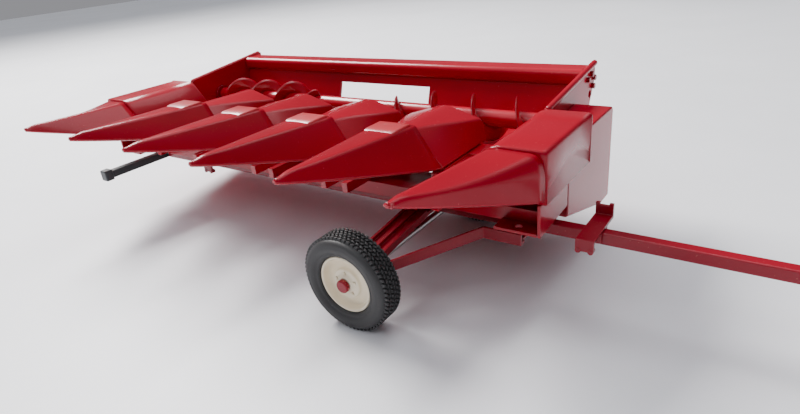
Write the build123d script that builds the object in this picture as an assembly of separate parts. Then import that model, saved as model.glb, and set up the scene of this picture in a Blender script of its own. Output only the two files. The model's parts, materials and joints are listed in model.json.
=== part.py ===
"""Scale model of a row-crop header riding on a two-wheel header cart.

Every separate piece of the real assembly is one STEP file in parts/.
Units are millimetres.  While it is drawn, X runs along the cart's beam towards
the hitch, Y runs from the snout tips to the rear, Z is up and Z = 0 is the
ground; Y = 0 is the middle of the beam and X = 0 the middle of the header.
At the end everything is shifted so the origin is the bottom centre of the
whole model.
"""
from math import cos, radians, sin, tan
import os

from build123d import *

# ---------------------------------------------------------------- dimensions
# cart
wheel_r = 21.5
tyre_width = 13.0
rim_r = 12.7
wheel_x = 78.0
wheel_y = 55.0              # half the track
axle_r = 1.8
running = 0.05              # radial clearance of anything that turns
beam = 5.0                  # square beam
beam_wall = 1.0
beam_rise = 14.5            # beam top above the axle
beam_left_inset = 5.0       # beam's left end, short of the end plate
drawbar_reach = 153.5       # hitch pin beyond the header's right end
hitch_hole_r = 2.0
bumper_half = 46.0
saddle_width = 7.0
saddle_left_x = -65.0
saddle_beyond = 12.5        # right saddle, beyond the header's right end
leg_width = 12.0
brace_leg = 5.0
brace_flange = 3.6
brace_y = 11.5              # where the brace runs along the beam
brace_bend = 38.0           # where it bends, from the axle
brace_length = 55.0         # where it ends, from the axle
rail_y = 67.5
rail_left_inset = 30.0
arm_inset = 13.0
stand_x = -88.0
stand_pivot_drop = 8.5      # stand pivot below the beam's top
# header, sizes
row_pitch = 48.0            # snout to snout
row_count = 5               # gaps between snouts
stalk_gap = 5.0             # clear width between two snouts' skirts
sheet = 1.2                 # pressed sheet thickness
seat = 0.3                  # gap left between pieces that rest on each other
skirt_depth = 20.0          # height of the snouts' and hoods' sides
tip_y = -79.0               # snout tips
snout_root_y = -5.0         # rear end of the inner snouts
outer_root_y = -20.0        # rear end of the outer snouts
tip_rise = 2.5              # snout tips stand this far above the hoods
hood_rear_y = 36.5
outer_hood_rear_y = 31.0
outer_snout_gap = 1.6       # room for the outer snouts to fold up
outer_reach = 26.5          # outer side of the end hoods, beyond the last tip
pad_length = 13.0
pad_width = 16.0
hinge_pin_r = 0.8
frame_margin = 5.0          # end plates beyond the last snout tip
end_plate_t = 1.5
back_lean = 19.0            # the back sheet leans rearwards (degrees)
back_foot_y = 73.0
window_width = 69.0
window_height = 16.0
cap_height = 8.0
cap_depth = 15.0
auger_y = 54.0
auger_tube_r = 4.5
auger_shaft_r = 2.0
flight_r = 12.0
flight_pitch = 24.0
flight_t = 1.0
flight_gap_half = 30.0      # clear length each side of the middle
case_inset = 1.0            # chain cases, inside the outer hoods' side walls
case_front_y = 10.0
case_rear_y = 69.0
gearbox_half = 8.0
gearbox_front_y = -6.0
gearbox_rear_y = 24.0
row_arm_front_y = -26.0
# header, heights above the top of the beam
deck_above = 37.0           # top of the outer hoods
back_foot_above = 7.0
back_top_above = 34.5
window_above = 13.5
floor_above = 10.0          # auger trough
case_top_above = 29.5
case_low_above = -16.5

# ---------------------------------------------------------------- derived
snout_xs = [(i - row_count / 2) * row_pitch for i in range(row_count + 1)]
row_xs = [(i - (row_count - 1) / 2) * row_pitch for i in range(row_count)]
snout_half = (row_pitch - stalk_gap) / 2
frame_half = snout_xs[-1] + frame_margin    # inner face of the end plates
outer_x = snout_xs[-1] + outer_reach
side_panel_x = outer_x - 3.5
axle_z = wheel_r
beam_top_z = axle_z + beam_rise
beam_low_z = beam_top_z - beam
beam_left_x = -(frame_half - beam_left_inset)
hitch_x = outer_x + drawbar_reach
saddle_right_x = outer_x + saddle_beyond
arm_right_x = frame_half - arm_inset
rail_left_x = -(frame_half - rail_left_inset)
stand_pivot_z = beam_top_z - stand_pivot_drop
rest_z = beam_top_z + seat + sheet          # top of saddles and rear rail
header_z = rest_z + seat                    # underside of the header frame
deck_z = beam_top_z + deck_above
skirt_z = deck_z - skirt_depth
back_foot_z = beam_top_z + back_foot_above
back_top_z = beam_top_z + back_top_above
window_low_z = beam_top_z + window_above
window_high_z = window_low_z + window_height
floor_z = beam_top_z + floor_above
auger_z = floor_z + flight_r + 1.0
case_top_z = beam_top_z + case_top_above
case_low_z = beam_top_z + case_low_above
rail_front_half = 10.0
front_rail_top = header_z + 6.4
deck_plate_z = skirt_z - seat - 1.5         # underside of the deck plates

parts = {}


# ---------------------------------------------------------------- helpers
def polygon_face(points):
    """Flat face through 3-D points."""
    return Face(Wire.make_polygon([Vector(*p) for p in points], close=True))


def prism_x(yz, x0, x1):
    """Profile in the YZ plane, extruded from x0 to x1."""
    return Solid.extrude(polygon_face([(x0, y, z) for y, z in yz]), Vector(x1 - x0, 0, 0))


def prism_y(xz, y0, y1):
    """Profile in the XZ plane, extruded from y0 to y1."""
    return Solid.extrude(polygon_face([(x, y0, z) for x, z in xz]), Vector(0, y1 - y0, 0))


def prism_z(xy, z0, z1):
    """Profile in the XY plane, extruded from z0 to z1."""
    return Solid.extrude(polygon_face([(x, y, z0) for x, y in xy]), Vector(0, 0, z1 - z0))


def block(x0, x1, y0, y1, z0, z1):
    """Box given by its limits."""
    return prism_z([(x0, y0), (x1, y0), (x1, y1), (x0, y1)], z0, z1)


def rod(start, end, radius):
    """Round bar between two points."""
    axis = Vector(*end) - Vector(*start)
    return Solid.make_cylinder(radius, axis.length, Plane(origin=start, z_dir=axis))


def loft_y(sections):
    """Straight-sided body through (y, [(x, z), ...]) sections."""
    wires = [Wire.make_polygon([Vector(x, y, z) for x, z in xz], close=True) for y, xz in sections]
    return Solid.make_loft(wires, ruled=True)


def join(first, *others):
    """Fuse solids and drop the seams between them."""
    result = first
    for other in others:
        result = result + other
    return result.clean()


def mirror_x(shape):
    """Copy on the other side of the header's middle."""
    return shape.mirror(Plane.YZ)


def mirror_y(shape):
    """Copy on the other side of the beam."""
    return shape.mirror(Plane.XZ)


def inset(xz, side, top):
    """Inner outline of a four-sided open-bottomed shell section."""
    (x0, z0), (x1, z1), (x2, z2), (x3, z3) = xz
    shoulder = side * 0.6
    return [(x0 + side, z0 - 1), (x1 + shoulder, z1 - top), (x2 - shoulder, z2 - top), (x3 - side, z3 - 1)]


def round_edges(shape, edges, radius):
    """Fillet that leaves the shape alone if there is nothing to round."""
    return shape.fillet(radius, edges) if edges else shape


# ---------------------------------------------------------------- snouts
pin_z = deck_z - 4.4
pin_ahead = 1.5             # hinge pins ahead of the snouts' rear ends
inner_pin_y = snout_root_y - pin_ahead
outer_pin_y = outer_root_y - pin_ahead
lug_half = 6.0


def snout(x, root_y, root_section, pad_x, pad_w):
    """Hollow pointed divider, open underneath, with its tip shoe and hinge pad."""
    shoe_y = tip_y + 9
    heel = 4.4
    tip_z = deck_z + tip_rise
    tip = [(-1.4, tip_z - 2.8), (-0.8, tip_z), (0.8, tip_z), (1.4, tip_z - 2.8)]
    share = (shoe_y - tip_y) / (root_y - tip_y)
    middle = [(a[0] + (b[0] - a[0]) * share, a[1] + (b[1] - a[1]) * share) for a, b in zip(tip, root_section)]
    outer = [(tip_y, tip), (shoe_y, middle), (root_y, root_section)]
    body = loft_y([(y, [(x + u, w) for u, w in s]) for y, s in outer])
    first = inset(middle, sheet, sheet)
    if first[2][0] - first[1][0] < 0.4:
        centre = (first[1][0] + first[2][0]) / 2
        first[1] = (centre - 0.2, first[1][1])
        first[2] = (centre + 0.2, first[2][1])
    hollow = loft_y([
        (shoe_y, [(x + u, w) for u, w in first]),
        (root_y + 0.01, [(x + u, w) for u, w in inset(root_section, sheet, sheet)])])
    shoe = loft_y([
        (tip_y, [(x + u * 1.2, w) for u, w in tip]),
        (shoe_y, [(x - heel, middle[0][1] - 1.2), (x + middle[1][0] - 0.4, middle[1][1] + 0.5),
                  (x + middle[2][0] + 0.4, middle[2][1] + 0.5), (x + heel, middle[3][1] - 1.2)])])
    pad_top = deck_z + 0.5
    pad_box = block(x + pad_x - pad_w / 2, x + pad_x + pad_w / 2,
                    root_y - 1 - pad_length, root_y - 1, pad_top - 2.4, pad_top)
    pad_box = round_edges(pad_box, pad_box.edges().filter_by(Axis.Y).group_by(Axis.Z)[-1], 0.6)
    bore = rod((x + pad_x - 40, root_y - pin_ahead, pin_z), (x + pad_x + 40, root_y - pin_ahead, pin_z),
               hinge_pin_r + running)
    return join((body - hollow), shoe, pad_box) - hollow - bore


inner_root = [(-snout_half, skirt_z), (-9.5, deck_z - 0.6), (9.5, deck_z - 0.6), (snout_half, skirt_z)]
outer_root = [(-15.0, skirt_z), (4.0, deck_z - 0.3), (outer_reach, deck_z - 1.5), (outer_reach, skirt_z)]
pin_x_half = 12.6

for number, x in enumerate(snout_xs[1:-1], start=2):
    parts[f"snout_{number}"] = snout(x, snout_root_y, inner_root, 0.0, pad_width)
right_snout = snout(snout_xs[-1], outer_root_y, outer_root, 8.5, 9.0)
parts[f"snout_{row_count + 1}"] = right_snout
parts["snout_1"] = mirror_x(right_snout)


# ---------------------------------------------------------------- hoods
def hinge_lugs(xs, front_y, rear_y):
    """Two tongues reaching forward into the snout to carry its hinge pin."""
    lugs = []
    for x in xs:
        tongue = block(x - 0.8, x + 0.8, front_y, rear_y + sheet, pin_z - 1.5, pin_z + 0.8)
        lugs.append(join(tongue, rod((x - 0.8, front_y, pin_z), (x + 0.8, front_y, pin_z), 1.5)))
    return lugs


def drill(shape, y):
    """Hinge pin bore right across a hood's lugs."""
    return shape - rod((-400, y, pin_z), (400, y, pin_z), hinge_pin_r + running)


inner_front_y = snout_root_y + 0.9


def ridge_section(foot, shoulder, shoulder_z, ridge_z, low_z):
    """Section of an inner hood: two skirts, two shoulders and a ridge."""
    return [(-foot, low_z), (-shoulder, shoulder_z), (0, ridge_z), (shoulder, shoulder_z), (foot, low_z)]


hood_front = ridge_section(snout_half, 10, deck_z - 3.6, deck_z - 2.4, skirt_z)
hood_rear = ridge_section(snout_half + 0.5, snout_half - 1, deck_z - 9, deck_z - 3.0, skirt_z)
core_front = ridge_section(snout_half - 1.7, 9.2, deck_z - 5.0, deck_z - 3.8, skirt_z - 1)
core_rear = ridge_section(snout_half - 0.9, snout_half - 2.3, deck_z - 10, deck_z - 4.4, skirt_z - 1)
for number, x in enumerate(snout_xs[1:-1], start=2):
    outside = loft_y([(y, [(x + u, w) for u, w in s]) for y, s in
                      ((inner_front_y, hood_front), (hood_rear_y, hood_rear))])
    inside = loft_y([(y, [(x + u, w) for u, w in s]) for y, s in
                     ((inner_front_y + sheet, core_front), (hood_rear_y - sheet, core_rear))])
    lugs = hinge_lugs((x - lug_half, x + lug_half), inner_pin_y, inner_front_y)
    parts[f"hood_{number}"] = drill(join(outside - inside, *lugs), inner_pin_y)

outer_front_y = outer_root_y + outer_snout_gap
last_x = snout_xs[-1]
box_outline = [(last_x - 15, skirt_z), (last_x + 4, deck_z), (outer_x, deck_z), (outer_x, skirt_z - 1.5)]
box_core = [(last_x - 13, skirt_z - 2.5), (last_x + 5, deck_z - sheet), (outer_x - sheet, deck_z - sheet),
            (outer_x - sheet, skirt_z - 2.5)]
box = prism_y(box_outline, outer_front_y, outer_hood_rear_y)
box = round_edges(box, box.edges().filter_by(Axis.Y).group_by(Axis.Z)[-1].sort_by(Axis.X)[:1], 2.5)
box = round_edges(box, box.edges().filter_by(Axis.Y).group_by(Axis.Z)[-1].sort_by(Axis.X)[-1:], 0.8)
box = box - prism_y(box_core, outer_front_y + sheet, outer_hood_rear_y + 1)
box = join(box, *hinge_lugs((last_x + 6, last_x + 14), outer_pin_y, outer_front_y))
box = drill(box, outer_pin_y)
parts["outer_hood_right"] = box
parts["outer_hood_left"] = mirror_x(box)

pins = [rod((x - pin_x_half, inner_pin_y, pin_z), (x + pin_x_half, inner_pin_y, pin_z), hinge_pin_r)
        for x in snout_xs[1:-1]]
outer_pin = rod((last_x - 0.6, outer_pin_y, pin_z), (outer_x - sheet - 0.4, outer_pin_y, pin_z), hinge_pin_r)
parts["snout_hinge_pins"] = Compound(pins + [outer_pin, mirror_x(outer_pin)])

# ---------------------------------------------------------------- row units
for number, x in enumerate(row_xs, start=1):
    half = row_pitch / 2 - seat
    plate = block(x - half, x + half, snout_root_y + 3, hood_rear_y - 4, deck_plate_z, deck_plate_z + 1.5)
    slot = block(x - 2.5, x + 2.5, snout_root_y + 2, hood_rear_y - 18, deck_plate_z - 1, deck_plate_z + 3)
    gearbox = block(x - gearbox_half, x + gearbox_half, gearbox_front_y, gearbox_rear_y,
                    front_rail_top + seat, deck_plate_z + 0.2)
    gearbox = gearbox.fillet(1.0, gearbox.edges().filter_by(Axis.Z))
    arms = [block(x + s - 1.5, x + s + 1.5, row_arm_front_y, gearbox_front_y + 0.5,
                  front_rail_top + seat, front_rail_top + 5)
            for s in (1.5 - gearbox_half, gearbox_half - 1.5)]
    parts[f"row_unit_{number}"] = join(plate - slot, gearbox, *arms)

# ---------------------------------------------------------------- header frame
lean = tan(radians(back_lean))


def back_y(z):
    """Front face of the leaning back sheet at a height."""
    return back_foot_y + (z - back_foot_z) * lean


back_t = 1.5
frame_end = frame_half - seat
back = prism_x([(back_y(back_foot_z), back_foot_z), (back_y(back_top_z), back_top_z),
                (back_y(back_top_z) + back_t, back_top_z), (back_y(back_foot_z) + back_t, back_foot_z)],
               -frame_end, frame_end)
window = block(-window_width / 2, window_width / 2, back_foot_y - 5, back_y(back_top_z) + 10,
               window_low_z, window_high_z)
rib_height = 2.0
rib_depth = 1.6


def back_point(z, depth):
    """Point behind the back sheet's rear face, square to the sheet."""
    angle = radians(back_lean)
    return back_y(z) + back_t + depth * cos(angle), z - depth * sin(angle)


ribs = [prism_x([back_point(z, -0.2), back_point(z + rib_height, -0.2), back_point(z + rib_height, rib_depth),
                 back_point(z, rib_depth)], -frame_end, frame_end)
        for z in (window_low_z - 4.5, window_high_z + 1.5)]
parts["back_sheet"] = join(back, *ribs) - window

cap_y = back_y(back_top_z) - 2.6
cap_z = back_top_z + seat


def cap_outline(trim):
    """Cross-section of the rolled top cap, trimmed all round by a wall."""
    return Pos(cap_y + cap_depth / 2, cap_z + cap_height / 2) * RectangleRounded(
        cap_depth - 2 * trim, cap_height - 2 * trim, 3.0 - trim * 0.9)


cap_plane = Plane(origin=(-frame_end, 0, 0), x_dir=(0, 1, 0), z_dir=(1, 0, 0))
cap_outer = extrude(cap_plane * cap_outline(0), 2 * frame_end)
cap_inner = extrude(cap_plane * cap_outline(sheet), 2 * frame_end)
parts["top_cap"] = cap_outer - cap_inner

trough_line = [(hood_rear_y - 8, deck_plate_z - seat), (hood_rear_y + 1, deck_plate_z - seat),
               (auger_y - 9, floor_z), (auger_y + 9, floor_z), (back_y(floor_z + 2.5) - 0.3, floor_z + 2.5)]
trough_under = [(y, z - sheet) for y, z in trough_line]
trough_under[-1] = (back_y(floor_z + 1.3) - 0.3, floor_z + 1.3)
parts["auger_trough"] = prism_x(trough_line + trough_under[::-1], -frame_end, frame_end)

tube_top = floor_z - sheet - seat
rear_tube = block(-frame_end, frame_end, rail_y - 4, rail_y + 4, header_z, tube_top)
rear_tube = rear_tube.fillet(1.0, rear_tube.edges().filter_by(Axis.X))
rear_bore = block(-frame_end - 1, frame_end + 1, rail_y - 4 + sheet, rail_y + 4 - sheet,
                  header_z + sheet, tube_top - sheet)
parts["rear_frame_tube"] = rear_tube - rear_bore

rail_end = side_panel_x - seat
front_rail = block(-rail_end, rail_end, -rail_front_half, rail_front_half, header_z, front_rail_top)
front_core = block(-rail_end - 1, rail_end + 1, -rail_front_half + sheet, rail_front_half - sheet,
                   header_z + sheet, front_rail_top - sheet)
tabs = [block(x - 9, x + 9, -rail_front_half - 9, -rail_front_half + 0.5, header_z, header_z + sheet)
        for x in (-rail_end + 9, rail_end - 9)]
tab_holes = [rod((x, -rail_front_half - 5, header_z - 1), (x, -rail_front_half - 5, header_z + 4), 1.5)
             for x in (-rail_end + 9, rail_end - 9)]
front_rail = join(front_rail - front_core, *tabs)
for hole in tab_holes:
    front_rail = front_rail - hole
parts["front_rail"] = front_rail

panel_top = skirt_z - 1.5 - seat
panel = prism_x([(outer_root_y + 1, header_z), (case_front_y - seat, header_z + 1.5),
                 (case_front_y - seat, panel_top), (outer_root_y + 1, panel_top)],
                side_panel_x, side_panel_x + sheet)
foot = block(frame_half + end_plate_t + seat, side_panel_x + 0.2, outer_root_y + 12.5, case_front_y - 4,
             panel_top - sheet, panel_top)
parts["side_panel_right"] = join(panel, foot)
parts["side_panel_left"] = mirror_x(parts["side_panel_right"])

# ---------------------------------------------------------------- end plates
cap_rear_y = cap_y + cap_depth
cap_top_z = cap_z + cap_height
end_front_y = outer_hood_rear_y + 0.6
end_outline = [(-rail_front_half, front_rail_top + seat), (rail_front_half + seat, front_rail_top + seat),
               (rail_front_half + seat, header_z + seat), (rail_y + 9, header_z + seat),
               (cap_rear_y - 9, deck_z - 19), (cap_rear_y + 1, cap_z), (cap_rear_y + 1, cap_top_z + 1),
               (end_front_y, deck_z - 0.5), (end_front_y, deck_plate_z - seat),
               (-rail_front_half, deck_plate_z - seat)]
end_plate = prism_x(end_outline, frame_half, frame_half + end_plate_t)
flange_start = Vector(frame_half + 1.5, end_front_y + 1.6, deck_z - 0.5)
flange_end = Vector(frame_half + 1.5, cap_rear_y - 0.6, cap_top_z + 0.7)
end_plate = join(end_plate, rod(tuple(flange_start), tuple(flange_end), 1.5),
                 Pos(flange_start) * Solid.make_sphere(1.5), Pos(flange_end) * Solid.make_sphere(1.5))
bush_r = 4.0
port_y = cap_rear_y - 6
port_z = cap_z - 6
for hole_y, hole_z, hole_r in ((auger_y, auger_z, bush_r + running), (port_y, port_z, 2.0)):
    end_plate = end_plate - rod((frame_half - 5, hole_y, hole_z), (frame_half + 5, hole_y, hole_z), hole_r)
parts["end_plate_right"] = end_plate
parts["end_plate_left"] = mirror_x(end_plate)

bolt_spots = [(cap_rear_y - 1.2, cap_z + 1.5), (cap_rear_y - 5.0, cap_z + 4.0),
              (cap_rear_y - 2.4, cap_z - 2.6), (cap_rear_y - 10.0, cap_z + 2.0)]
bolts = []
for y, z in bolt_spots:
    head_plane = Plane(origin=(frame_half + end_plate_t + 0.05, y, z), z_dir=(1, 0, 0))
    bolts.append(extrude(head_plane * RegularPolygon(1.5, 6), 1.3).solid())
parts["end_plate_bolts"] = Compound(bolts + [mirror_x(b) for b in bolts])

# ---------------------------------------------------------------- chain cases
case_x0 = frame_half + end_plate_t + seat
case_x1 = outer_x - sheet - case_inset
case_outline = [(case_front_y, case_low_z + 14), (case_rear_y - 12, case_low_z), (case_rear_y, case_low_z),
                (case_rear_y, case_top_z), (case_front_y, case_top_z)]
case_core = [(case_front_y + sheet, case_low_z + 14.4 + sheet), (case_rear_y - 11.6, case_low_z + sheet),
             (case_rear_y - sheet, case_low_z + sheet), (case_rear_y - sheet, case_top_z - sheet),
             (case_front_y + sheet, case_top_z - sheet)]
case = prism_x(case_outline, case_x0, case_x1)
case = case.fillet(2.4, case.edges().filter_by(Axis.X).group_by(Axis.Z)[-1])
case = case.fillet(0.9, case.edges().group_by(Axis.X)[-1])
case = case - prism_x(case_core, case_x0 - 1, case_x1 - sheet)
parts["chain_case_right"] = case
parts["chain_case_left"] = mirror_x(case)

# ---------------------------------------------------------------- auger
tube_end = frame_half - 3.0
auger_tube = join(rod((-tube_end, auger_y, auger_z), (tube_end, auger_y, auger_z), auger_tube_r),
                  rod((-frame_half - 4, auger_y, auger_z), (frame_half + 4, auger_y, auger_z), auger_shaft_r))
parts["auger_tube"] = auger_tube

flight_in = auger_tube_r + 0.12
flight_length = tube_end - flight_gap_half - 2.0
helix = Edge.make_helix(flight_pitch, flight_length, flight_in, normal=(1, 0, 0), lefthand=False)
start = helix @ 0
radial = Vector(0, start.Y, start.Z).normalized()
ribbon_plane = Plane(origin=start, x_dir=radial, z_dir=helix % 0)
ribbon_depth = flight_r - flight_in
ribbon = ribbon_plane * (Pos(ribbon_depth / 2, 0) * Rectangle(ribbon_depth, flight_t))
spiral = sweep(ribbon, path=helix, is_frenet=True)
flight = Pos(flight_gap_half, auger_y, auger_z) * spiral
parts["auger_flight_right"] = flight
parts["auger_flight_left"] = mirror_x(flight)



def auger_rod(x0, x1, radius):
    """Round piece about the auger's axis."""
    return rod((x0, auger_y, auger_z), (x1, auger_y, auger_z), radius)


bush_start = frame_half - 1.6
bush = join(auger_rod(bush_start, frame_half - seat, bush_r + 2),
            auger_rod(bush_start, frame_half + end_plate_t + 1, bush_r))
bush = bush - auger_rod(frame_half - 5, frame_half + 8, auger_shaft_r + running)
parts["auger_bushes"] = Compound([bush, mirror_x(bush)])

# ---------------------------------------------------------------- cart beam and ends
beam_half = beam / 2
tongue_length = 12.0
cart_beam = block(beam_left_x, hitch_x - tongue_length, -beam_half, beam_half, beam_low_z, beam_top_z)
cart_beam = cart_beam.fillet(0.6, cart_beam.edges().filter_by(Axis.X))
beam_core = block(beam_left_x - 1, hitch_x, -beam_half + beam_wall, beam_half - beam_wall,
                  beam_low_z + beam_wall, beam_top_z - beam_wall)
parts["cart_beam"] = cart_beam - beam_core

tongue_z = (beam_low_z + beam_top_z) / 2
plug_inset = beam_wall + running
plug = block(hitch_x - tongue_length - 10, hitch_x - tongue_length + 0.3, -beam_half + plug_inset,
             beam_half - plug_inset, beam_low_z + plug_inset, beam_top_z - plug_inset)
eye = join(block(hitch_x - tongue_length + 0.1, hitch_x, -5, 5, tongue_z - 2, tongue_z + 2),
           rod((hitch_x, 0, tongue_z - 2), (hitch_x, 0, tongue_z + 2), 5))
eye = join(plug, eye) - rod((hitch_x, 0, tongue_z - 5), (hitch_x, 0, tongue_z + 5), hitch_hole_r)
parts["hitch_tongue"] = eye

bumper = block(beam_left_x - 4.8, beam_left_x - seat, -bumper_half, bumper_half,
               beam_low_z + 0.4, beam_top_z - 0.4)
caps = [block(beam_left_x - 5.6, beam_left_x + 0.4, s - 2.5, s + 2.5, beam_low_z - 0.6, beam_top_z + 0.9)
        for s in (-bumper_half + 2, bumper_half - 2)]
parts["bumper_bar"] = join(bumper, *[c.fillet(0.7, c.edges()) for c in caps])


# ---------------------------------------------------------------- saddles
def saddle(x):
    """Strap over the beam: hooked front feet, side lips and an upright rear tab."""
    half = saddle_width / 2
    low = beam_top_z + seat
    strap = block(x - half, x + half, -13, 12, low, rest_z)
    drop = block(x - half, x + half, -13, -13 + sheet, beam_low_z + 1.5, rest_z)
    feet = [rod((x + s, -13.2, beam_low_z + 1.8), (x + s, -10.6, beam_low_z + 1.8), 1.1)
            for s in (-half + 1.1, half - 1.1)]
    grip_y = beam_half + seat
    grips = [block(x - half, x + half, y0, y0 + 1, beam_low_z + 1, low + 0.2) for y0 in (grip_y, -grip_y - 1)]
    tab = block(x - half, x + half, 12 - sheet, 12, low, rest_z + 5)
    tab = tab - block(x - half + 1.6, x + half - 1.6, 5, 15, rest_z + 4, rest_z + 7)
    return join(strap, drop, tab, *feet, *grips)


parts["saddle_left"] = saddle(saddle_left_x)
parts["saddle_right"] = saddle(saddle_right_x)


# ---------------------------------------------------------------- axle
leg_end_y = wheel_y - tyre_width / 2 - 2.4


def axle_leg():
    """Ribbed channel from under the beam out and down to the far wheel."""
    top = beam_low_z - seat
    line = [(0.15, top), (beam_half + 1, top), (leg_end_y, axle_z + 4), (leg_end_y, axle_z + 2.4),
            (beam_half + 1, top - 1.6), (0.15, top - 1.6)]
    leg = prism_x(line, wheel_x - leg_width / 2, wheel_x + leg_width / 2)
    rib_line = [(beam_half + 2, top - 0.6), (beam_half + 2.6, top + 1.2), (leg_end_y, axle_z + 5.8),
                (leg_end_y, axle_z + 3)]
    rib_xs = [wheel_x + s * (leg_width / 2 - 0.6) for s in (-1, 0, 1)]
    ribs = [prism_x(rib_line, x - 0.6, x + 0.6) for x in rib_xs]
    knuckle = block(wheel_x - 4, wheel_x + 4, leg_end_y - 6, leg_end_y, axle_z - 3.4, axle_z + 3.4)
    knuckle = knuckle.fillet(1.2, knuckle.edges().filter_by(Axis.Y))
    bore = rod((wheel_x, 0, axle_z), (wheel_x, wheel_y + 20, axle_z), axle_r + running)
    return join(leg, knuckle, *ribs) - bore


parts["axle_leg_far"] = axle_leg()
parts["axle_leg_near"] = mirror_y(parts["axle_leg_far"])

rim_half = 4.6
axle_end = wheel_y + rim_half + 0.6
parts["axle_shaft"] = rod((wheel_x, -axle_end, axle_z), (wheel_x, axle_end, axle_z), axle_r)
cap_far = rod((wheel_x, axle_end - 0.4, axle_z), (wheel_x, axle_end + 1.4, axle_z), 2.9)
cap_far = cap_far.fillet(0.7, cap_far.edges().sort_by(Axis.Y)[-1:])
cap_far = cap_far - rod((wheel_x, 0, axle_z), (wheel_x, axle_end + 0.02, axle_z), axle_r + 0.02)
parts["axle_end_caps"] = Compound([cap_far, mirror_y(cap_far)])


# ---------------------------------------------------------------- braces
brace_low_z = beam_low_z - 3
angle_section = [(0, 0), (brace_flange, 0), (brace_flange, sheet), (sheet, sheet), (sheet, brace_leg),
                 (0, brace_leg)]


def brace():
    """Angle-iron brace from the axle knuckle up to the beam, towards the hitch, on the far side."""
    corners = [Vector(wheel_x + 6.8, leg_end_y - 3, axle_z - 2.6),
               Vector(wheel_x + brace_bend, brace_y, brace_low_z),
               Vector(wheel_x + brace_length, brace_y, brace_low_z)]
    run = Vector(corners[1].X - corners[0].X, corners[1].Y - corners[0].Y, 0).normalized()
    inward = Vector(run.Y, -run.X, 0)
    towards_beam = Vector(0, -1, 0)
    mitre = (inward + towards_beam).normalized()
    mitre = mitre * (1 / mitre.dot(towards_beam))
    wires = [Wire.make_polygon([corner + side * w + Vector(0, 0, h) for w, h in angle_section], close=True)
             for corner, side in zip(corners, (inward, mitre, towards_beam))]
    bar = Solid.make_loft(wires, ruled=True)
    gusset_x = wheel_x + brace_length - 5
    gusset = block(gusset_x - 4, gusset_x + 4, beam_half + seat, brace_y - 2.4,
                   brace_low_z, brace_low_z + sheet)
    hanger = block(gusset_x - 4, gusset_x + 4, beam_half + seat, beam_half + seat + sheet,
                   brace_low_z, beam_top_z - 1)
    end_tab = block(wheel_x + 4.3, wheel_x + 7.4, leg_end_y - 5.6, leg_end_y - 2.2,
                    axle_z - 2.2, axle_z + 1.4)
    return join(bar, gusset, hanger, end_tab)


parts["brace_far"] = brace()
parts["brace_near"] = mirror_y(parts["brace_far"])

# ---------------------------------------------------------------- rear support and stand
rail_half = 3.5
arm_low = beam_top_z - 2.5
for name, x in (("left", saddle_left_x), ("right", arm_right_x)):
    start_y = beam_half + 0.3 if name == "right" else beam_half + 1.7
    arm = block(x - 2, x + 2, start_y, rail_y - rail_half - 0.3, arm_low, beam_top_z)
    parts[f"support_arm_{name}"] = arm

rail = block(rail_left_x, arm_right_x + 4, rail_y - rail_half, rail_y + rail_half, beam_low_z + 1.5, rest_z)
ears = [block(stand_x - 3, stand_x + 3, y0, y0 + 1.4, stand_pivot_z - 3, beam_low_z + 1.7)
        for y0 in (rail_y - rail_half, rail_y + rail_half - 1.4)]
rail = join(rail, *ears)
stand_hole = rod((stand_x, rail_y - 6, stand_pivot_z), (stand_x, rail_y + 6, stand_pivot_z), 1.2 + running)
parts["support_rail"] = rail - stand_hole

leg = block(stand_x - 1.6, stand_x + 1.6, rail_y - 1.8, rail_y + 1.8, 1.2, stand_pivot_z + 2.2)
leg = leg.fillet(0.5, leg.edges().filter_by(Axis.Z))
stand_foot = block(stand_x - 4, stand_x + 4, rail_y - 7, rail_y + 7, 0, 1.6)
stand_foot = stand_foot.fillet(1.5, stand_foot.edges().filter_by(Axis.Z))
parts["stand_leg"] = join(leg, stand_foot) - stand_hole
parts["stand_pin"] = rod((stand_x, rail_y - rail_half - 1, stand_pivot_z),
                         (stand_x, rail_y + rail_half + 1, stand_pivot_z), 1.2)

# ---------------------------------------------------------------- wheels
half_tyre = tyre_width / 2
bead = rim_r + 0.12
tyre_line = [(bead, half_tyre - 2.4), (bead + 1.6, half_tyre - 0.8), (bead + 4.0, half_tyre),
             (wheel_r - 2.6, half_tyre - 0.6), (wheel_r - 0.9, half_tyre - 1.7),
             (wheel_r - 0.2, half_tyre - 2.6)]
groove_at = (3.0, 1.1)
right_side = tyre_line + [(wheel_r, groove_at[0] + 0.45), (wheel_r - 0.9, groove_at[0] + 0.3),
                          (wheel_r - 0.9, groove_at[0] - 0.3), (wheel_r, groove_at[0] - 0.45),
                          (wheel_r, groove_at[1] + 0.3), (wheel_r - 0.9, groove_at[1] + 0.15),
                          (wheel_r - 0.9, groove_at[1] - 0.45), (wheel_r, groove_at[1] - 0.6)]
tyre_outline = right_side + [(r, -w) for r, w in right_side[::-1]]


def revolve_y(profile, y):
    """Turn an (radius, offset) outline about the axle at a given y."""
    face = polygon_face([(wheel_x + r, y + w, axle_z) for r, w in profile])
    return Solid.revolve(face, 360, Axis((wheel_x, y, axle_z), (0, 1, 0)))


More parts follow.
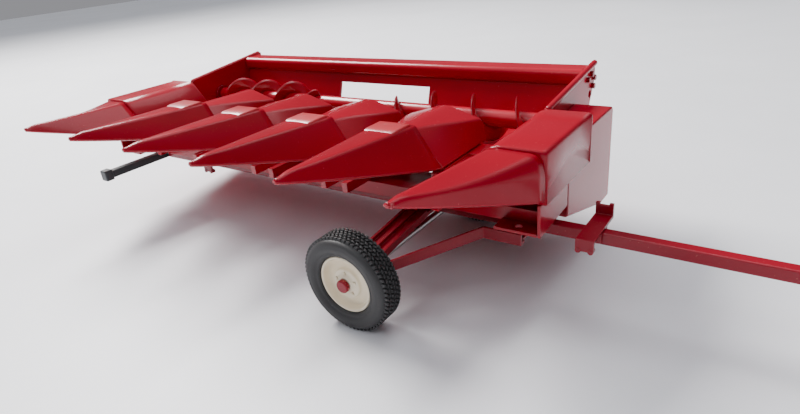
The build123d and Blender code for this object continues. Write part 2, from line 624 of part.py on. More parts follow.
disc_r = 9.2
hub_r = 4.4
rim_outline = [(axle_r + running, 2.8), (5.0, 2.8), (6.4, 1.8), (disc_r, 1.8), (rim_r - 1.8, 0.2),
               (rim_r - 1.5, 3.2), (rim_r - 1.3, rim_half), (rim_r - 0.2, rim_half), (rim_r, rim_half - 0.6),
               (rim_r, -rim_half + 0.6), (rim_r - 0.2, -rim_half), (rim_r - 1.2, -rim_half),
               (rim_r - 1.4, -1.4), (disc_r, 0.2), (hub_r, 0.2), (hub_r, -rim_half + 1.0),
               (axle_r + running, -rim_half + 1.0)]
tyre = revolve_y(tyre_outline, wheel_y)
rim = revolve_y(rim_outline, wheel_y)
lug_nuts = [rod((wheel_x + 7.6 * cos(radians(a)), wheel_y + 1.6, axle_z + 7.6 * sin(radians(a))),
                (wheel_x + 7.6 * cos(radians(a)), wheel_y + 2.7, axle_z + 7.6 * sin(radians(a))), 0.9)
            for a in range(90, 450, 72)]
rim = join(rim, *lug_nuts)
parts["tyre_far"] = tyre
parts["rim_far"] = rim
parts["tyre_near"] = mirror_y(tyre)
parts["rim_near"] = mirror_y(rim)

# ---------------------------------------------------------------- export
whole = Compound([shape for part in parts.values() for shape in part.solids()]).bounding_box()
shift = Vector(-(whole.min.X + whole.max.X) / 2, -(whole.min.Y + whole.max.Y) / 2, -whole.min.Z)
os.makedirs("parts", exist_ok=True)
for name, shape in parts.items():
    solids = [Pos(shift) * solid for solid in shape.solids()]
    placed = solids[0] if len(solids) == 1 else Compound(solids)
    export_step(placed, f"parts/{name}.step")
print("pieces", len(parts), "shift", tuple(round(v, 4) for v in shift))
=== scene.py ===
import json
import math

import bpy
from mathutils import Matrix, Vector


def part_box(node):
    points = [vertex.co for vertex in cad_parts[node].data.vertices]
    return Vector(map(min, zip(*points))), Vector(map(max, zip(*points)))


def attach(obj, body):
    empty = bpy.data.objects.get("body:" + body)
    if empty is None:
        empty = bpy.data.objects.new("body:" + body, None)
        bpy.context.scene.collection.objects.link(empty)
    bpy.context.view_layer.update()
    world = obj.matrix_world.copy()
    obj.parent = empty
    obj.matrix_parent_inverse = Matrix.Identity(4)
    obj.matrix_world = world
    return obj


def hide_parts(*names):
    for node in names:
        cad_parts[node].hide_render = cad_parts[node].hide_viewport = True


# Looks of the scale-model row-crop header on its two-wheel cart.  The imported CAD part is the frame.
# Pieces whose look needs more than the CAD solid are rebuilt here in mesh code, in the frame's own row
# axes: +X to the hitch, +Y to the rear, +Z up.  Drawing sizes are millimetres; the scene is in metres.

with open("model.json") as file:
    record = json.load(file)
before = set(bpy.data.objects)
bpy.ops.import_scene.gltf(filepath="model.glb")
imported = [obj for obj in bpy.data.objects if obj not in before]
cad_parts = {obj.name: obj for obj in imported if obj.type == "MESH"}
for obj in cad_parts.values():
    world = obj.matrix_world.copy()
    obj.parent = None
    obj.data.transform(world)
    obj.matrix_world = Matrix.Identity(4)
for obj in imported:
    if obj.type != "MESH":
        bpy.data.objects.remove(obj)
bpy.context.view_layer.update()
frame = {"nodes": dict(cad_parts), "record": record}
nodes = frame["nodes"]

# ---------------------------------------------------------------- driving dimensions (millimetres)
MM = 0.001
row_pitch = 48.0
snout_count = 6
sheet = 1.1                 # thickness of the hoods' and snouts' skins
deck_z = 73.0               # tops of the outer hoods
skirt_z = 53.0              # lower edges of the hoods and of the snouts' rear ends
skirt_half = 21.5
# snouts
tip_y = -79.0
tip_half = 0.9              # half width of a tip
tip_rise = 2.3              # tips stand this far above the deck
tip_depth = 0.8             # foot of a tip, below the deck
tip_droop = 1.1             # the last bit of a tip bends down this far
tip_foot_share = 1.6        # foot's half width at the tip, as a share of tip_half
root_drop = 0.7             # tops of the snouts' rear ends, below the deck
ridge_half = 9.5
ridge_crown = 0.25
inner_root_y = -5.0
outer_root_y = -20.0
outer_reach = 26.5          # outer side of the end snouts and hoods, beyond the tips
outer_inside = 15.0         # inner side of the end snouts and hoods, short of the tips
outer_ridge = 4.0           # their ridge's place, beyond the tips
shoulder_inset = 3.0
shoulder_fall = 2.6
snout_steps = 26
hem_in = 1.2                # width of the rolled hem along a skirt's foot
hem_low = 0.15
hem_high = 0.9
hem_round = 0.8
pad_length = 13.0
pad_width = 16.0
pad_rear_gap = 1.0          # pad's rear edge, ahead of the snout's rear end
# hoods
hood_front_y = -4.0
hood_rear_y = 36.4
hood_steps = 16
hood_front_half = 5.6       # half width of the flat top at the front
hood_flare = 0.4            # the feet spread this much towards the rear
outer_hood_front_y = -18.4
outer_hood_rear_y = 31.0
# hinge pins of the snouts
pin_drop = 4.4              # below the deck
pin_ahead = 1.5             # ahead of the snouts' rear ends
inner_pin_half = 10.4
outer_pin_from = 1.5
outer_pin_to = 20
pin_end = [(0, 0.2), (0.1, 0.6), (0.4, 0.79)]      # (distance from an end, radius)
# bead under the cap
bead_y = 83.1               # middle of the back sheet's top edge
bead_half = 0.5
bead_drop = 0.15
bead_inset = 0.4
# auger
auger_y = 54.0
auger_z = 59.0
flight_root_r = 4.45
flight_r = 12.0
flight_pitch = 24.0
flight_start_x = 30.0
flight_turns = 3.75
flight_start_degrees = 90
flight_steps_per_turn = 48
flight_fade = 14            # a blade reaches its full depth in this fraction of its length
blade_section = [(0, -0.75), (0.35, -0.5), (0.8, -0.32), (1, 0), (0.8, 0.32), (0.35, 0.5), (0, 0.75)]
# wheels
tyre_r = 21.5
tyre_half = 6.5
bead_r = 12.9
tread_rows = 6
tread_blocks = 64
tread_depth = 1.25
tread_inset = 1.7           # outermost row, inside the tyre's side
tread_gap = 0.22            # half the groove between rows
tread_fill = 0.72           # share of the pitch that a block takes
tread_taper = 0.78          # a block's top, as a share of its foot
tread_skew = 0.016          # slant of the blocks (radians)
axle_hole_r = 1.9
lug_circle_r = 4.9
lug_count = 5
lug_profile = [(0.75, 3.3), (0.72, 3.8), (0.55, 4.1), (0.25, 4.2)]

# ---------------------------------------------------------------- where the header and the beam lie
cap_low, cap_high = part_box("top_cap")
axle_low, axle_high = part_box("axle_shaft")
origin = Vector(((cap_low.x + cap_high.x) / 2, (axle_low.y + axle_high.y) / 2, 0))
wheel_x = ((axle_low.x + axle_high.x) / 2 - origin.x) / MM
axle_z = (axle_low.z + axle_high.z) / 2 / MM
snout_xs = [(i - (snout_count - 1) / 2) * row_pitch for i in range(snout_count)]


def at(x, y, z):
    """Point given in millimetres from the header's middle, the beam and the ground."""
    return Vector((x * MM, y * MM, z * MM)) + origin


# ---------------------------------------------------------------- materials (metres)
BLOTCH_SCALE = 9.0
SPECK_SCALE = 1400.0
UNEVEN_SCALE = 60.0
WAVE_SCALE = 55.0
WAVE_DEPTH = 0.00022
COAT_ROUGHNESS = 0.06


def new_material(name):
    """Empty node material and its principled shader."""
    material = bpy.data.materials.new(name)
    material.use_nodes = True
    tree = material.node_tree
    shader = tree.nodes["Principled BSDF"]
    return material, tree, shader


def add(tree, kind, **settings):
    """New node with some of its settings and inputs filled in."""
    node = tree.nodes.new(kind)
    for key, value in settings.items():
        if key.startswith("in_"):
            node.inputs[key[3:].replace("_", " ")].default_value = value
        else:
            setattr(node, key, value)
    return node


def ramp(tree, source, stops):
    """Colour ramp fed by a value."""
    node = tree.nodes.new("ShaderNodeValToRGB")
    elements = node.color_ramp.elements
    while len(elements) < len(stops):
        elements.new(0.5)
    for element, (place, colour) in zip(elements, stops):
        element.position = place
        element.color = (*colour, 1)
    tree.links.new(source, node.inputs["Fac"])
    return node.outputs["Color"]


def noise(tree, place, scale, detail, rough):
    """Noise in the object's own coordinates."""
    node = add(tree, "ShaderNodeTexNoise", in_Scale=scale, in_Detail=detail, in_Roughness=rough)
    tree.links.new(place, node.inputs["Vector"])
    return node.outputs["Fac"]


def mix_colour(tree, mask, colour, other):
    """Colour that turns to another one where the mask is 1."""
    mixed = add(tree, "ShaderNodeMix", data_type="RGBA")
    mixed.inputs[7].default_value = (*other, 1)
    tree.links.new(mask, mixed.inputs[0])
    tree.links.new(colour, mixed.inputs[6])
    return mixed.outputs[2]


def edge_mask(tree, radius):
    """Mask that is 1 on rounded-over edges and 0 on flat areas, and the rounded normal."""
    bevel = add(tree, "ShaderNodeBevel", samples=4, in_Radius=radius)
    geometry = tree.nodes.new("ShaderNodeNewGeometry")
    dot = add(tree, "ShaderNodeVectorMath", operation="DOT_PRODUCT")
    tree.links.new(bevel.outputs["Normal"], dot.inputs[0])
    tree.links.new(geometry.outputs["Normal"], dot.inputs[1])
    mask = ramp(tree, dot.outputs["Value"], [(0.86, (1, 1, 1)), (0.985, (0, 0, 0))])
    return mask, bevel.outputs["Normal"]


def bumped(tree, normal, height, strength, depth):
    """Normal with a height laid over it."""
    bump = add(tree, "ShaderNodeBump", in_Strength=strength, in_Distance=depth)
    tree.links.new(height, bump.inputs["Height"])
    tree.links.new(normal, bump.inputs["Normal"])
    return bump.outputs["Normal"]


def finish_surface(name, dark, light, edge_highlight, rough, grain, grain_depth, coat=0.0, edge_radius=0.0006,
                   edge_strength=0.5, speck=None, specular=0.5):
    """Shared recipe: blotchy colour, painted highlights on rounded edges, uneven roughness, and a fine grain
    over soft waviness.
    """
    material, tree, shader = new_material(name)
    place = tree.nodes.new("ShaderNodeTexCoord").outputs["Object"]
    link = tree.links.new
    blotch = noise(tree, place, BLOTCH_SCALE, 4.0, 0.55)
    colour = ramp(tree, blotch, [(0.35, dark), (0.65, light)])
    if speck:
        spots = noise(tree, place, SPECK_SCALE, 1.0, 0.4)
        mask = ramp(tree, spots, [(0.74, (0, 0, 0)), (0.80, (1, 1, 1))])
        colour = mix_colour(tree, mask, colour, speck)
    # Rounded edges take the edge-highlight colour: a painted highlight along ridges, rims and corners.
    edges, soft_normal = edge_mask(tree, edge_radius)
    weight = add(tree, "ShaderNodeMath", operation="MULTIPLY")
    weight.inputs[1].default_value = edge_strength
    link(edges, weight.inputs[0])
    link(mix_colour(tree, weight.outputs[0], colour, edge_highlight), shader.inputs["Base Color"])
    uneven = noise(tree, place, UNEVEN_SCALE, 5.0, 0.6)
    spread = add(tree, "ShaderNodeMapRange")
    spread.inputs["To Min"].default_value = rough * 0.8
    spread.inputs["To Max"].default_value = rough * 1.25
    link(uneven, spread.inputs["Value"])
    link(spread.outputs["Result"], shader.inputs["Roughness"])
    wavy = bumped(tree, soft_normal, noise(tree, place, WAVE_SCALE, 1.0, 0.4), 0.35, WAVE_DEPTH)
    grainy = bumped(tree, wavy, noise(tree, place, grain, 2.0, 0.5), 0.4, grain_depth)
    link(grainy, shader.inputs["Normal"])
    shader.inputs["Coat Weight"].default_value = coat
    shader.inputs["Coat Roughness"].default_value = COAT_ROUGHNESS
    shader.inputs["Specular IOR Level"].default_value = specular
    return material


# Light pink laid on the rounded edges of the red parts: painted highlight.
pink_edge_highlight = (0.62, 0.05, 0.07)
red_sheet = finish_surface(
    "red_painted_sheet", dark=(0.32, 0.0, 0.012), light=(0.42, 0.0005, 0.018), edge_highlight=pink_edge_highlight, rough=0.22,
    grain=900.0, grain_depth=0.00003, coat=0.12, speck=(0.55, 0.05, 0.05), specular=0.25)
red_frame = finish_surface(
    "red_painted_frame", dark=(0.20, 0.0, 0.009), light=(0.29, 0.0005, 0.014), edge_highlight=pink_edge_highlight, rough=0.24,
    grain=700.0, grain_depth=0.00004, coat=0.15, speck=(0.45, 0.06, 0.06), specular=0.3)
red_plastic = finish_surface(
    "red_hood_plastic", dark=(0.27, 0.0, 0.010), light=(0.36, 0.0005, 0.016), edge_highlight=(0.85, 0.20, 0.22),
    rough=0.22, grain=1200.0, grain_depth=0.00002, coat=0.05, speck=(0.50, 0.04, 0.05),
    edge_radius=0.0009, specular=0.2)
red_moulded = finish_surface(
    "red_moulded_part", dark=(0.34, 0.0, 0.012), light=(0.45, 0.001, 0.018), edge_highlight=pink_edge_highlight, rough=0.22,
    grain=1000.0, grain_depth=0.00002, coat=0.3, specular=0.4)
# The pads' lighter pink stands in for the sheen of their textured tops: painted sheen.
red_pad_painted_sheen = finish_surface(
    "red_textured_pad", dark=(0.46, 0.02, 0.03), light=(0.60, 0.05, 0.06), edge_highlight=(0.85, 0.3, 0.3),
    rough=0.32, grain=3800.0, grain_depth=0.00016, coat=0.4)
charcoal = finish_surface(
    "charcoal_bar", dark=(0.022, 0.028, 0.032), light=(0.040, 0.048, 0.052), edge_highlight=(0.12, 0.13, 0.14),
    rough=0.42, grain=2200.0, grain_depth=0.00006)
pin_steel = finish_surface(
    "bare_pin", dark=(0.42, 0.41, 0.40), light=(0.56, 0.55, 0.54), edge_highlight=(0.75, 0.75, 0.75),
    rough=0.30, grain=1500.0, grain_depth=0.00003)
pin_steel.node_tree.nodes["Principled BSDF"].inputs["Metallic"].default_value = 1.0
rubber = finish_surface(
    "tyre_rubber", dark=(0.018, 0.017, 0.018), light=(0.032, 0.031, 0.032), edge_highlight=(0.075, 0.072, 0.074),
    rough=0.55, grain=1600.0, grain_depth=0.00009, edge_strength=0.35, speck=(0.10, 0.10, 0.09))
cream = finish_surface(
    "cream_rim", dark=(0.84, 0.72, 0.52), light=(0.92, 0.81, 0.62), edge_highlight=(0.95, 0.88, 0.72),
    rough=0.34, grain=1400.0, grain_depth=0.00003, coat=0.2)
finish_of = {"red_painted_sheet": red_sheet, "red_painted_frame": red_frame, "red_hood_plastic": red_plastic,
             "red_moulded_part": red_moulded, "charcoal_bar": charcoal, "bare_pin": pin_steel,
             "tyre_rubber": rubber, "cream_rim": cream}
slot_of = {entry["node"]: entry["material_slot"] for entry in frame["record"]["subparts"]}
for name, node in nodes.items():
    node.data.materials.clear()
    node.data.materials.append(finish_of[slot_of[name]])


# ---------------------------------------------------------------- mesh helpers
def make_piece(name, vertices, faces, material, body, stands_for=()):
    """Smooth mesh object that rides on a body, and stands for CAD nodes where they are named."""
    mesh = bpy.data.meshes.new(name)
    mesh.from_pydata([tuple(v) for v in vertices], [], faces)
    mesh.validate()
    mesh.materials.append(material)
    for face in mesh.polygons:
        face.use_smooth = True
    piece = bpy.data.objects.new(name, mesh)
    bpy.context.scene.collection.objects.link(piece)
    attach(piece, body)
    if stands_for:
        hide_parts(*stands_for)
    return piece


def soften(piece, width, steps, angle):
    """Round the sharp edges of a piece."""
    bevel = piece.modifiers.new("rounded_edges", "BEVEL")
    bevel.width = width * MM
    bevel.segments = steps
    bevel.limit_method = "ANGLE"
    bevel.angle_limit = math.radians(angle)
    bevel.harden_normals = True


def thicken(piece, thickness):
    """Give an open skin its sheet thickness, inwards."""
    solid = piece.modifiers.new("sheet_thickness", "SOLIDIFY")
    solid.thickness = thickness * MM
    solid.offset = -1


def loft(rings, closed=False, cap_start=False, cap_end=False):
    """Vertices and faces through rings that have the same number of points."""
    count = len(rings[0])
    vertices = [point for ring in rings for point in ring]
    faces = []
    last = count if closed else count - 1
    for i in range(len(rings) - 1):
        for j in range(last):
            k = (j + 1) % count
            faces.append((i * count + j, i * count + k, (i + 1) * count + k, (i + 1) * count + j))
    if cap_start:
        faces.append(tuple(reversed(range(count))))
    if cap_end:
        faces.append(tuple((len(rings) - 1) * count + j for j in range(count)))
    return vertices, faces


def flipped(faces):
    """Faces turned to look the other way."""
    return [tuple(reversed(face)) for face in faces]


def circle_across(x, y, z, radius, count):
    """Ring of points about a line along X."""
    turns = [math.tau * j / count for j in range(count)]
    return [at(x, y + radius * math.cos(a), z + radius * math.sin(a)) for a in turns]


def rounded_line(points, radii, steps=5):
    """Open line through 2-D points with its inner corners rounded, with the same count for any sizes."""
    line = [Vector(points[0])]
    for before, here, after, radius in zip(points, points[1:], points[2:], radii):
        corner = Vector(here)
        way_in = Vector(before) - corner
        way_out = Vector(after) - corner
        reach = min(radius, way_in.length * 0.45, way_out.length * 0.45)
        start = corner + way_in.normalized() * reach
        end = corner + way_out.normalized() * reach
        for i in range(steps + 1):
            t = i / steps
            line.append(start * (1 - t) ** 2 + corner * 2 * t * (1 - t) + end * t * t)
    line.append(Vector(points[-1]))
    return line


def lerp(a, b, t):
    """Value at a share t of the way from a to b."""
    return a + (b - a) * t


def ease(t):
    """Smooth step from 0 to 1."""
    t = max(0.0, min(1.0, t))
    return t * t * (3 - 2 * t)


def merge(parts):
    """Several (vertices, faces) pairs as one."""
    vertices = []
    faces = []
    for some, polygons in parts:
        shift = len(vertices)
        vertices.extend(some)
        faces.extend(tuple(i + shift for i in polygon) for polygon in polygons)
    return vertices, faces


# ---------------------------------------------------------------- snouts
def inner_snout_line(t, top, foot):
    """Section of an inner snout, the same on both sides of its ridge."""
    half_top = lerp(tip_half * 0.8, ridge_half, t)
    half_foot = lerp(tip_half * tip_foot_share, skirt_half, t)
    points = [(-half_foot + hem_in, foot + hem_low), (-half_foot, foot + hem_high), (-half_top, top),
              (0, top + ridge_crown), (half_top, top), (half_foot, foot + hem_high),
              (half_foot - hem_in, foot + hem_low)]
    return rounded_line(points, [hem_round, 1.3, 6.0, 1.3, hem_round])


def outer_snout_line(t, top, foot):
    """Section of an end snout, with a full shoulder on its outer side."""
    inner = lerp(-tip_half * tip_foot_share, -outer_inside, t)
    outer = lerp(tip_half * tip_foot_share, outer_reach, t)
    ridge = lerp(-tip_half * 0.4, outer_ridge, t)
    shoulder = lerp(tip_half * 0.9, outer_reach - shoulder_inset, t)
    fall = shoulder_fall * math.sin(math.pi * min(1.0, t * 0.95))
    side = outer - 0.3
    points = [(inner + hem_in, foot + hem_low), (inner, foot + hem_high), (ridge, top),
              (shoulder, top - fall), (side, top - lerp(1.4, 6.5, t)), (side, foot + hem_high),
              (outer - 1.5, foot + hem_low)]
    return rounded_line(points, [hem_round, 1.9, 9.0, 5.0, hem_round])


def snout_ring(x, y, t, side):
    """Section of a snout at a share t of its length; side is 0 for an inner one, or the outer side's sign."""
    droop = (1 - ease(min(1.0, t * 9))) * tip_droop
    top = lerp(deck_z + tip_rise, deck_z - root_drop, t) - droop
    foot = lerp(deck_z - tip_depth, skirt_z, min(1.0, t * 1.02) ** 0.93)
    line = outer_snout_line(t, top, foot) if side else inner_snout_line(t, top, foot)
    sign = side or 1
    return [at(x + sign * p.x, y, p.y) for p in line]


def build_snout(number, x, side):
    """One snout skin with its rolled hem and closed tip."""
    root_y = outer_root_y if side else inner_root_y
    rings = []
    for i in range(snout_steps + 1):
        t = (i / snout_steps) ** 1.25
        rings.append(snout_ring(x, lerp(tip_y, root_y, t), t, side))
    vertices, faces = loft(rings, cap_start=True)
    if side < 0:
        faces = flipped(faces)
    skin = make_piece(f"snout_{number}_skin", vertices, faces, red_plastic, f"snout_{number}",
                      [f"snout_{number}"])
    thicken(skin, sheet)


def build_pad(number, x):
    """Raised rectangular pad over an inner snout's hinge."""
    half = pad_width / 2
    base = deck_z - 2.2
    rear = inner_root_y - pad_rear_gap
    front = rear - pad_length
    top = deck_z + 0.5
    sections = [(front - 1.6, base + 1.6, -0.8), (front, deck_z + 0.2, -0.2), (front + 2, top, 0),
                (rear - 1.5, top, 0), (rear - 0.3, deck_z - 0.1, 0), (rear, base, 0)]
    rings = []
    for y, z, grow in sections:
        corners = [(-half - grow, base), (-half - grow, z), (half + grow, z), (half + grow, base)]
        rings.append([at(x + p.x, y, p.y) for p in rounded_line(corners, [0.9, 0.9])])
    vertices, faces = loft(rings, cap_start=True, cap_end=True)
    make_piece(f"snout_{number}_pad", vertices, faces, red_pad_painted_sheen, f"snout_{number}")


side_of = {1: -1, snout_count: 1}
for number, x in enumerate(snout_xs, 1):
    side = side_of.get(number, 0)
    build_snout(number, x, side)
    if not side:
        build_pad(number, x)


# ---------------------------------------------------------------- hoods
def hood_ring(x, y, t):
    """Open section of an inner hood at a share t of its length."""
    half_top = lerp(hood_front_half, skirt_half - 1.4, ease(t * 0.9 + 0.05))
    shoulder = lerp(deck_z - 3.4, deck_z - 9.0, t ** 1.3)
    ridge = lerp(deck_z - 2.6, deck_z - 3.1, t)
    foot = skirt_half + hood_flare * t
    points = [(-foot + 0.8, skirt_z + 0.1), (-foot, skirt_z + hem_high), (-half_top, shoulder), (0, ridge),
              (half_top, shoulder), (foot, skirt_z + hem_high), (foot - 0.8, skirt_z + 0.1)]
    return [at(x + p.x, y, p.y) for p in rounded_line(points, [0.6, 1.6, 4.0, 1.6, 0.6])]


def build_hood(number, x):
    """Peaked hood behind an inner snout, flaring to a wide, low rear end."""
    shares = [i / hood_steps for i in range(hood_steps + 1)]
    rings = [hood_ring(x, lerp(hood_front_y, hood_rear_y, t), t) for t in shares]
    vertices, faces = loft(rings, cap_start=True, cap_end=True)
    hood = make_piece(f"hood_{number}_shell", vertices, faces, red_plastic, "header",
                      [f"hood_{number}"])
    soften(hood, 0.5, 2, 50)


def build_outer_hood(side, name):
    """Box hood at one end of the header, with a rounded inner shoulder and a beaded rear edge."""
    x = side * snout_xs[-1]
    front = outer_hood_front_y
    rear = outer_hood_rear_y
    sections = [(front, 1.0), (front + 0.3, 0.5), (front + 0.9, 0.3), (0, 0.3), (15, 0.3),
                (rear - 1.3, 0.3), (rear - 1.0, 0.05), (rear - 0.3, 0), (rear, 0.25)]
    rings = []
    for y, shrink in sections:
        top = deck_z - shrink
        reach = outer_reach - shrink
        points = [(-outer_inside + shrink, skirt_z), (outer_ridge + shrink * 0.6, top), (reach, top),
                  (reach, skirt_z - 1.5)]
        rings.append([at(x + side * p.x, y, p.y) for p in rounded_line(points, [4.5, 2.0], 8)])
    vertices, faces = loft(rings, cap_start=True)
    if side < 0:
        faces = flipped(faces)
    hood = make_piece(name + "_shell", vertices, faces, red_plastic, "header", [name])
    thicken(hood, sheet)


for number, x in enumerate(snout_xs[1:-1], 2):
    build_hood(number, x)
build_outer_hood(1, "outer_hood_right")
build_outer_hood(-1, "outer_hood_left")


# ---------------------------------------------------------------- hinge pins and cap bead
def build_hinge_pins():
    """Round pins with domed ends that carry the snouts."""
    inner_y = inner_root_y - pin_ahead
    outer_y = outer_root_y - pin_ahead
    spans = [(x - inner_pin_half, x + inner_pin_half, inner_y) for x in snout_xs[1:-1]]
    spans += [(snout_xs[-1] + outer_pin_from, snout_xs[-1] + outer_pin_to, outer_y),
              (snout_xs[0] - outer_pin_to, snout_xs[0] - outer_pin_from, outer_y)]
    parts = []
    for start, end, y in spans:
        sections = [(start + d, r) for d, r in pin_end] + [(end - d, r) for d, r in reversed(pin_end)]
        rings = [circle_across(x, y, deck_z - pin_drop, r, 20) for x, r in sections]
        parts.append(loft(rings, closed=True, cap_start=True, cap_end=True))
    vertices, faces = merge(parts)
    make_piece("snout_hinge_pins_domed", vertices, faces, red_frame, "header",
               ["snout_hinge_pins"])


def build_cap_bead():
    """Thin bead of paint that closes the line between the back sheet's top edge and the cap."""
    half = (cap_high.x - cap_low.x) / 2 / MM - bead_inset
    z = cap_low.z / MM - bead_drop
    rings = [circle_across(x, bead_y, z, bead_half, 16) for x in (-half, half)]
    vertices, faces = loft(rings, closed=True, cap_start=True, cap_end=True)
    make_piece("cap_bead", vertices, faces, red_sheet, "header")


build_hinge_pins()
build_cap_bead()


# ---------------------------------------------------------------- auger flights
def build_flight(side, node):
    """Thin screw blade that tapers to a fine outer edge, and fades in and out at its ends."""
    steps = int(flight_turns * flight_steps_per_turn)
    rings = []
    for i in range(steps + 1):
        t = i / steps
        x = flight_start_x + t * flight_pitch * flight_turns
        angle = math.radians(flight_start_degrees + 360 * flight_turns * t)
        ends = min(1.0, t * flight_fade, (1 - t) * flight_fade)
        outer = lerp(flight_root_r + 2.5, flight_r - 0.05, math.sqrt(ends))
        ring = []
        for share, thick in blade_section:
            r = lerp(flight_root_r, outer, share)
            ring.append(at(side * (x + thick), auger_y + r * math.cos(angle), auger_z + r * math.sin(angle)))
        rings.append(ring)
    vertices, faces = loft(rings, closed=True, cap_start=True, cap_end=True)
    if side < 0:
        faces = flipped(faces)
    make_piece(node + "_blade", vertices, faces, red_moulded, "auger", [node])


build_flight(1, "auger_flight_right")
build_flight(-1, "auger_flight_left")

# ---------------------------------------------------------------- wheels
# profiles are (radius, distance from the wheel's middle, towards its outer face)
tyre_side = [(bead_r, 4.4), (bead_r + 0.5, 5.2), (bead_r + 1.1, 5.5), (bead_r + 1.5, 5.4),
             (bead_r + 2.0, 5.9), (bead_r + 3.4, tyre_half - 0.1), (bead_r + 4.6, tyre_half),
             (bead_r + 5.0, tyre_half - 0.18), (bead_r + 5.4, tyre_half - 0.05),
             (tyre_r - 2.2, tyre_half - 0.55), (tyre_r - 1.5, tyre_half - 1.1), (tyre_r - 1.15, tyre_half - 1.9)]
rim_profile = [(axle_hole_r, 4.3), (3.3, 4.3), (3.6, 4.1), (3.8, 3.6), (6.0, 3.4), (6.4, 3.3), (6.6, 2.9),
               (6.7, 2.2), (7.2, 1.9), (9.0, 1.3), (10.3, 0.9), (10.9, 1.1), (11.2, 1.9), (11.4, 3.2),
               (11.6, 4.2), (11.9, 4.6), (12.4, 4.55), (12.7, 4.1), (12.7, -4.1), (12.4, -4.55),
               (11.9, -4.6), (11.4, -4.2), (11.2, -1.4), (9.2, 0.2), (4.4, 0.2), (4.4, -3.6),
               (axle_hole_r, -3.6)]
tyre_steps = 128
rim_steps = 96


def turned(profile, centre_y, sign, steps):
    """Closed outline of (radius, offset) pairs turned about the axle."""
    rings = []
    for i in range(steps):
        a = 2 * math.pi * i / steps
        rings.append([at(wheel_x + r * math.cos(a), centre_y + sign * w, axle_z + r * math.sin(a))
                      for r, w in profile])
    count = len(profile)
    vertices = [p for ring in rings for p in ring]
    faces = []
    for i in range(steps):
        n = (i + 1) % steps
        for j in range(count):
            k = (j + 1) % count
            faces.append((i * count + j, n * count + j, n * count + k, i * count + k))
    if sign > 0:
        faces = flipped(faces)
    return vertices, faces


def tread_block(angle, width_from, width_to, skew, sign, centre_y):
    """One small tread block standing on the carcass."""
    span = math.pi / tread_blocks * tread_fill
    middle = (width_from + width_to) / 2
    vertices = []
    for r, along, across in ((tyre_r - tread_depth, 1.0, 1.0), (tyre_r - 0.02, tread_taper, tread_taper)):
        for w, turn in ((width_from, -skew), (width_to, skew)):
            y = centre_y + sign * lerp(middle, w, across)
            for s in (-1, 1):
                a = angle + turn + s * span * along
                vertices.append(at(wheel_x + r * math.cos(a), y, axle_z + r * math.sin(a)))
    faces = [(0, 1, 3, 2), (4, 6, 7, 5), (0, 4, 5, 1), (2, 3, 7, 6), (0, 2, 6, 4), (1, 5, 7, 3)]
    return vertices, faces


def lug_nut(angle, centre_y, sign):
    """Small domed nut on the wheel's disc."""
    rings = []
    centre_x = wheel_x + lug_circle_r * math.cos(angle)
    centre_z = axle_z + lug_circle_r * math.sin(angle)
    for r, w in lug_profile:
        rings.append([at(centre_x + r * math.cos(math.tau * j / 12), centre_y + sign * w,
                         centre_z + r * math.sin(math.tau * j / 12)) for j in range(12)])
    return loft(rings, closed=True, cap_end=True)


def build_tyre(name, sign, centre_y):
    """Tyre with rows of staggered tread blocks."""
    carcass = tyre_side + [(r, -w) for r, w in reversed(tyre_side)]
    parts = [turned(carcass, centre_y, sign, tyre_steps)]
    width = 2 * (tyre_half - tread_inset) / tread_rows
    for row in range(tread_rows):
        start = -tyre_half + tread_inset + row * width
        end = start + width - tread_gap
        skew = tread_skew if row % 2 else -tread_skew
        for i in range(tread_blocks):
            angle = math.tau * (i + 0.5 * (row % 2)) / tread_blocks
            parts.append(tread_block(angle, start + tread_gap, end, skew, sign, centre_y))
    vertices, faces = merge(parts)
    tyre = make_piece(f"tyre_{name}_treaded", vertices, faces, rubber, f"wheel_{name}",
                      [f"tyre_{name}"])
    for face in tyre.data.polygons[tyre_steps * len(carcass):]:
        face.use_smooth = False


def build_rim(name, sign, centre_y):
    """Dished rim with its nuts."""
    parts = [turned(rim_profile, centre_y, sign, rim_steps)]
    for i in range(lug_count):
        parts.append(lug_nut(math.radians(90 + 360 / lug_count * i), centre_y, sign))
    vertices, faces = merge(parts)
    make_piece(f"rim_{name}_dished", vertices, faces, cream, f"wheel_{name}", [f"rim_{name}"])


for name, sign in (("near", -1), ("far", 1)):
    low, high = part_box(f"tyre_{name}")
    centre_y = ((low.y + high.y) / 2 - origin.y) / MM
    build_tyre(name, sign, centre_y)
    build_rim(name, sign, centre_y)


# ---------------------------------------------------------------- floor and light (metres)
def build_floor():
    """Plain pale floor with a faint grain."""
    size = 3.0
    mesh = bpy.data.meshes.new("floor")
    corners = [(-size, -size, 0), (size, -size, 0), (size, size, 0), (-size, size, 0)]
    mesh.from_pydata(corners, [], [(0, 1, 2, 3)])
    floor = bpy.data.objects.new("floor", mesh)
    bpy.context.scene.collection.objects.link(floor)
    material, tree, shader = new_material("pale_floor")
    place = tree.nodes.new("ShaderNodeTexCoord").outputs["Object"]
    grain = noise(tree, place, 6.0, 5.0, 0.6)
    tone = ramp(tree, grain, [(0.3, (0.84, 0.84, 0.87)), (0.7, (0.91, 0.91, 0.94))])
    tree.links.new(tone, shader.inputs["Base Color"])
    shader.inputs["Roughness"].default_value = 0.45
    bump = add(tree, "ShaderNodeBump", in_Strength=0.15, in_Distance=0.0004)
    tree.links.new(noise(tree, place, 90.0, 4.0, 0.6), bump.inputs["Height"])
    tree.links.new(bump.outputs["Normal"], shader.inputs["Normal"])
    mesh.materials.append(material)


def area_light(name, place, target, size, power, colour):
    """Soft square light aimed at a point."""
    data = bpy.data.lights.new(name, "AREA")
    data.shape = "SQUARE"
    data.size = size
    data.energy = power
    data.color = colour
    light = bpy.data.objects.new(name, data)
    light.location = place
    light.rotation_euler = (Vector(target) - Vector(place)).to_track_quat("-Z", "Y").to_euler()
    bpy.context.scene.collection.objects.link(light)


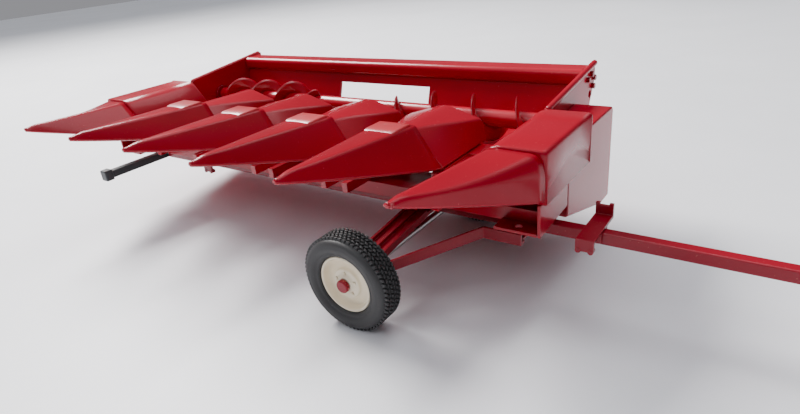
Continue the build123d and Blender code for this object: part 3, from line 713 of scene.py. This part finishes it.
def build_world():
    """Soft room: bright overhead and dim near the horizon."""
    world = bpy.data.worlds.new("soft_room")
    world.use_nodes = True
    tree = world.node_tree
    direction = tree.nodes.new("ShaderNodeTexCoord").outputs["Generated"]
    parts = tree.nodes.new("ShaderNodeSeparateXYZ")
    tree.links.new(direction, parts.inputs["Vector"])
    glow = ramp(tree, parts.outputs["Z"], [(0.0, (0.30, 0.30, 0.32)), (0.12, (0.12, 0.12, 0.13)),
                                           (0.55, (0.16, 0.16, 0.17)), (0.8, (0.85, 0.88, 0.94))])
    tree.links.new(glow, tree.nodes["Background"].inputs["Color"])
    tree.nodes["Background"].inputs["Strength"].default_value = 1.0
    bpy.context.scene.world = world


build_floor()
build_world()
area_light("window_light", (-1.05, 0.25, 1.05), (-0.05, 0, 0.03), 0.6, 48.0, (1.0, 0.985, 0.97))
area_light("rear_light", (0.1, 0.7, 1.7), (0, 0, 0.05), 0.9, 8.0, (0.95, 0.97, 1.0))
area_light("front_fill", (-0.2, -1.0, 1.2), (0, 0, 0.05), 0.8, 4.0, (0.96, 0.97, 1.0))

# ---------------------------------------------------------------- camera
camera_place = at(216.83, -198.86, 143.72)
camera_yaw = math.radians(37.41)
camera_tilt = math.radians(-24.84)
camera_roll = math.radians(6.09)
camera_lens = 25.43
forward = Vector((-math.sin(camera_yaw) * math.cos(camera_tilt), math.cos(camera_yaw) * math.cos(camera_tilt),
                  math.sin(camera_tilt)))
right = Vector((math.cos(camera_yaw), math.sin(camera_yaw), 0))
down = forward.cross(right)
image_right = right * math.cos(camera_roll) + down * math.sin(camera_roll)
image_down = down * math.cos(camera_roll) - right * math.sin(camera_roll)
data = bpy.data.cameras.new("camera")
data.lens = camera_lens
data.sensor_width = 36.0
data.clip_start = 0.01
camera = bpy.data.objects.new("camera", data)
turn = Matrix((image_right, -image_down, -forward)).transposed()
camera.matrix_world = Matrix.Translation(camera_place) @ turn.to_4x4()
bpy.context.scene.collection.objects.link(camera)
bpy.context.scene.camera = camera
